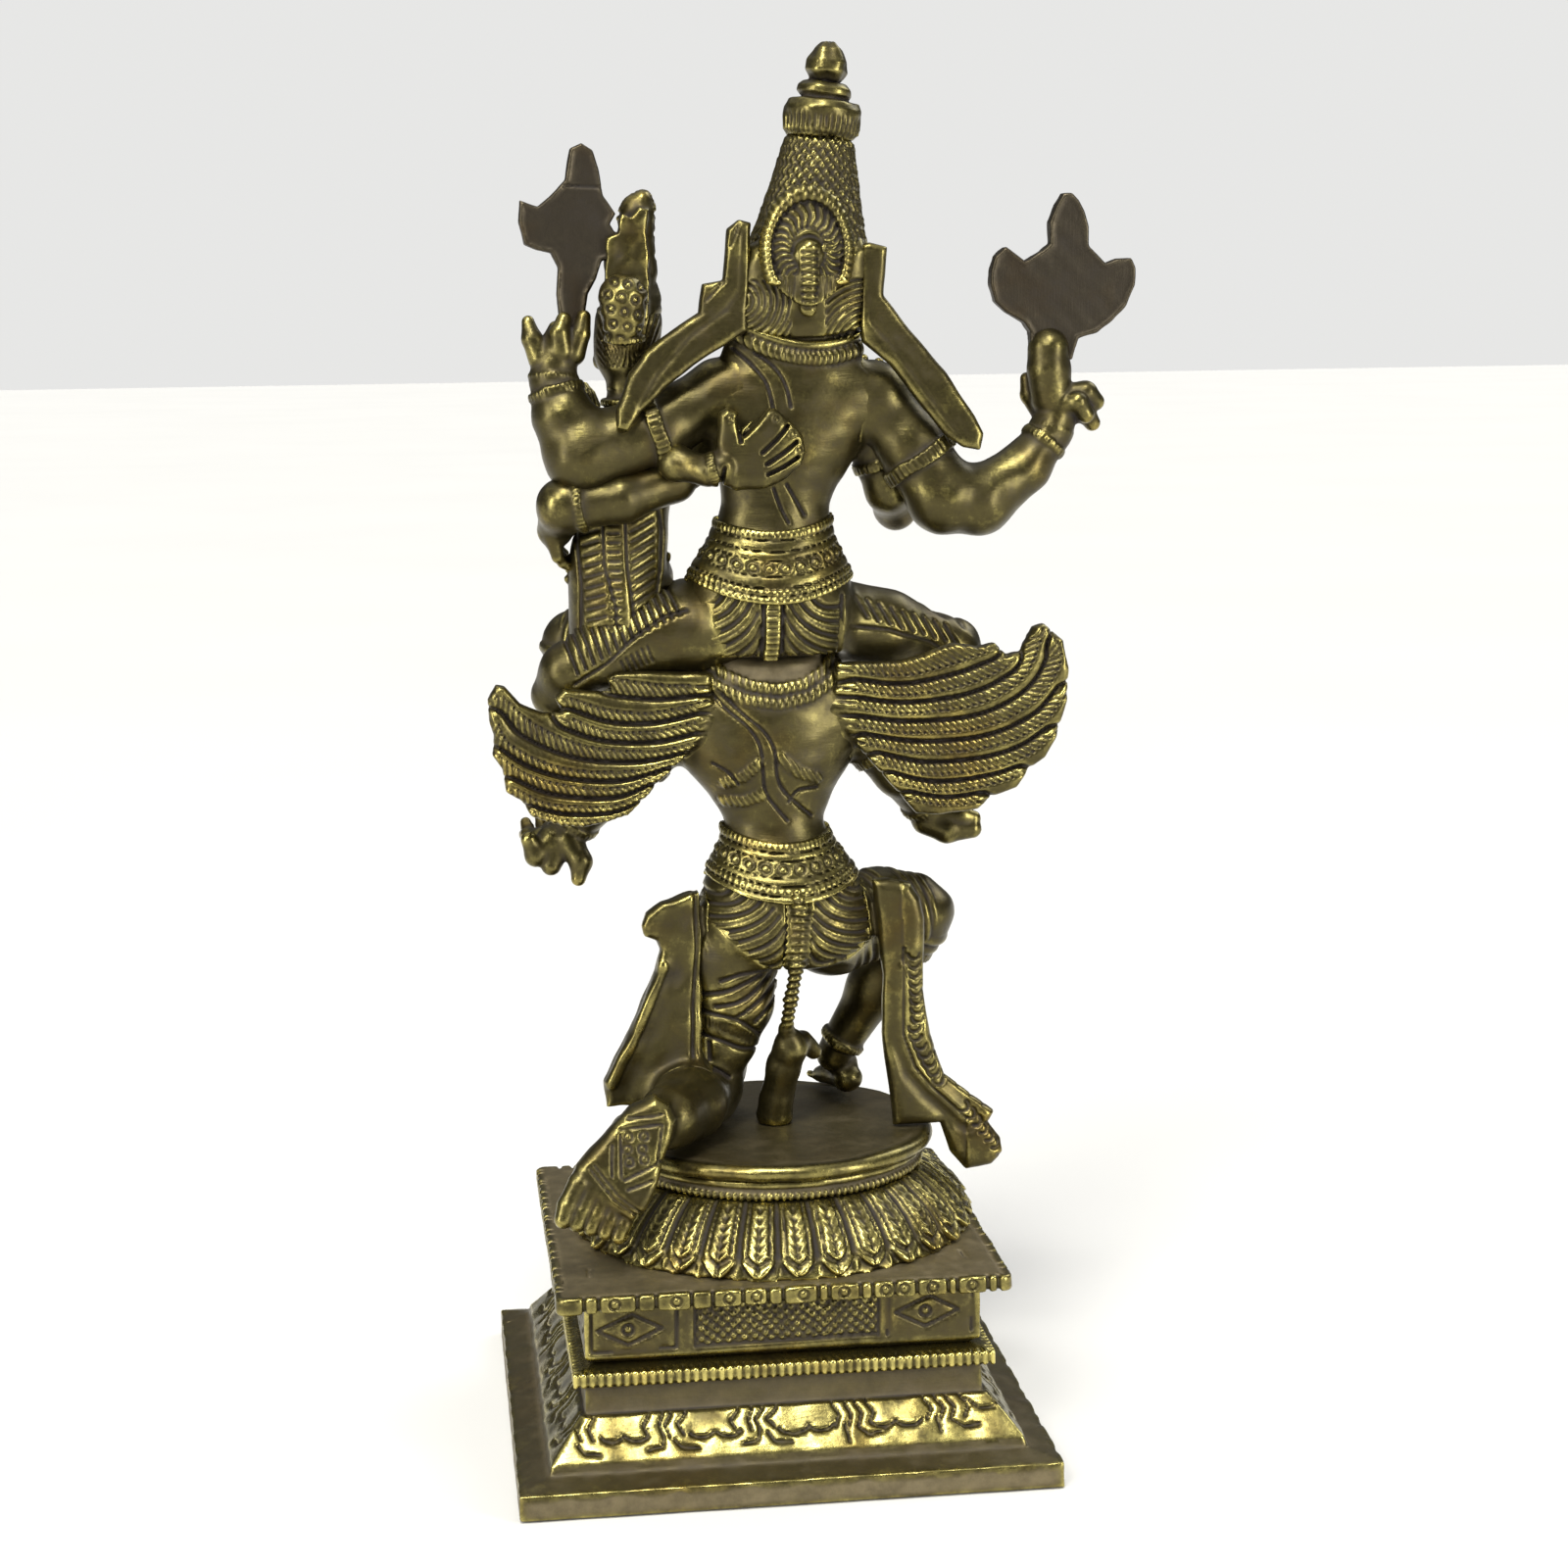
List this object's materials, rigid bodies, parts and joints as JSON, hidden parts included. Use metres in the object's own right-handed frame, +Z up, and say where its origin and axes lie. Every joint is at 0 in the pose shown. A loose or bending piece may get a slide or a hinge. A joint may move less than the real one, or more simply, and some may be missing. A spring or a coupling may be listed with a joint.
{
  "type": "brass figure group statue",
  "caption": "Cast brass figure group: crowned god with consort on the shoulders of a kneeling winged eagle-man, on a lotus and stepped square pedestal.",
  "frame": {"origin": "middle of the pedestal's underside, on the plate that closes it", "axes": "+Z up; the figures face -Y; the figures' own left hand is on +X"},
  "size_m": [0.0945, 0.076, 0.1992],
  "materials": {
    "polished_brass": "hand-polished high spots over olive-gold cast brass, with dark brown left in the engraving",
    "ground_brass": "grey-brown file-ground flat back with fine slanting scratches",
    "dull_brass": "unpolished dull brass, out of sight"
  },
  "bodies": {
    "root": {"base_plate": "dull_brass", "plinth": "polished_brass", "dado": "polished_brass", "top_slab": "polished_brass", "lotus_petals": "polished_brass", "lotus_bead_ring": "polished_brass", "lotus_seat": "polished_brass", "tie_bolt": "dull_brass", "tie_washer": "dull_brass", "tie_nut": "dull_brass", "eagle_body": "polished_brass", "eagle_head": "polished_brass", "eagle_crown": "polished_brass", "eagle_left_arm": "polished_brass", "eagle_right_arm": "polished_brass", "eagle_left_leg": "polished_brass", "eagle_right_leg": "polished_brass", "eagle_left_wing": "polished_brass", "eagle_right_wing": "polished_brass", "eagle_belt": "polished_brass", "eagle_left_sash": "polished_brass", "eagle_right_sash": "polished_brass", "eagle_tassel": "polished_brass", "god_body": "polished_brass", "god_head": "polished_brass", "god_crown": "polished_brass", "god_crown_finial": "polished_brass", "god_crown_wheel": "polished_brass", "god_back_left_arm": "polished_brass", "god_back_right_arm": "polished_brass", "god_front_left_arm": "polished_brass", "god_front_right_arm": "polished_brass", "god_left_leg": "polished_brass", "god_right_leg": "polished_brass", "god_belt": "polished_brass", "god_left_ribbon": "polished_brass", "god_right_ribbon": "polished_brass", "conch_emblem": "ground_brass", "discus_emblem": "ground_brass", "consort_body": "polished_brass", "consort_head": "polished_brass", "consort_crown": "polished_brass", "consort_hair_bun": "polished_brass", "consort_right_arm": "polished_brass", "consort_left_arm": "polished_brass", "consort_lotus_bud": "polished_brass"}
  },
  "joints": []
}
